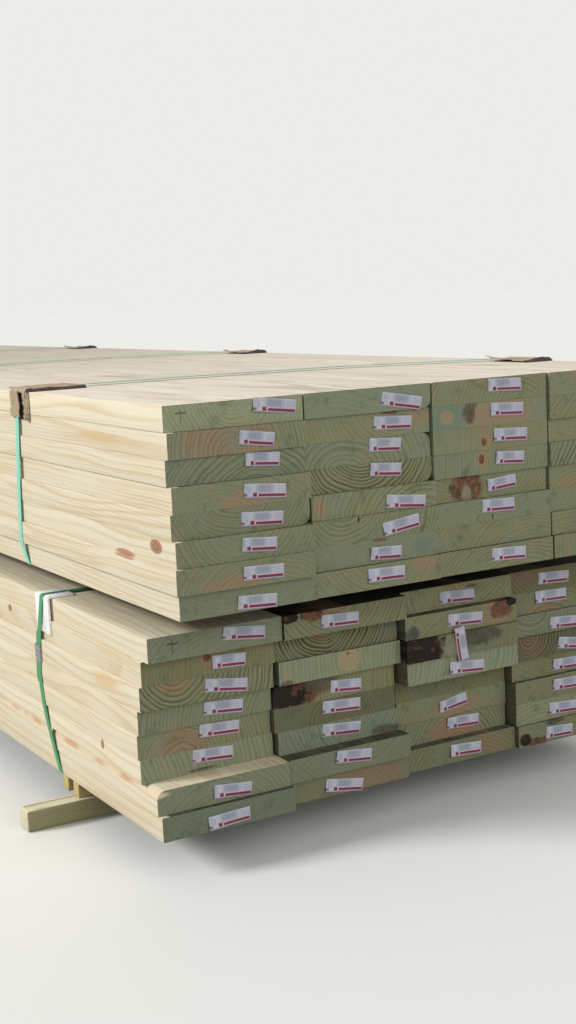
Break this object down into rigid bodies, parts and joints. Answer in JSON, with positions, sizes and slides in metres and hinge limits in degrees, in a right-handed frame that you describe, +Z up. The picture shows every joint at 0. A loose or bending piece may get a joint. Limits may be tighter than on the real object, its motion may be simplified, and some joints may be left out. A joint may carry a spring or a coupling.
{
  "type": "stack of lumber",
  "caption": "Two strapped bundles of treated boards, one on the other over spacers, on sticks and ground timbers.",
  "frame": {"origin": "on the ground, under the middle of the stack's footprint", "axes": "+X across the boards to the right seen from the tagged ends, +Y along the boards away from the tagged ends, +Z up"},
  "size_m": [1.219, 4.402, 0.7405],
  "materials": {
    "treated_boards": "rough sawn, treated",
    "spacer_wood": "rough sawn",
    "stick_wood": "rough sawn",
    "timber_wood": "rough sawn, grooved",
    "upper_band": "satin flat band",
    "lower_band": "satin flat band",
    "clip_steel": "crimped",
    "brown_board": "creased",
    "white_plastic": "moulded"
  },
  "bodies": {
    "root": {"upper_layer_1": "treated_boards", "upper_layer_2": "treated_boards", "upper_layer_3": "treated_boards", "upper_layer_4": "treated_boards", "upper_layer_5": "treated_boards", "upper_layer_6": "treated_boards", "upper_layer_7": "treated_boards", "upper_layer_8": "treated_boards", "upper_strap_1": "upper_band", "upper_strap_2": "upper_band", "upper_strap_3": "upper_band", "upper_strap_4": "upper_band", "lower_layer_1": "treated_boards", "lower_layer_2": "treated_boards", "lower_layer_3": "treated_boards", "lower_layer_4": "treated_boards", "lower_layer_5": "treated_boards", "lower_layer_6": "treated_boards", "lower_layer_7": "treated_boards", "lower_layer_8": "treated_boards", "lower_strap_1": "lower_band", "lower_strap_2": "lower_band", "lower_strap_3": "lower_band", "lower_strap_4": "lower_band", "bundle_spacers": "spacer_wood", "sticks": "stick_wood", "ground_timbers": "timber_wood", "strap_clips": "clip_steel", "upper_left_protectors": "brown_board", "upper_right_protectors": "brown_board", "lower_left_protectors": "white_plastic", "lower_right_protectors": "white_plastic"}
  },
  "joints": []
}
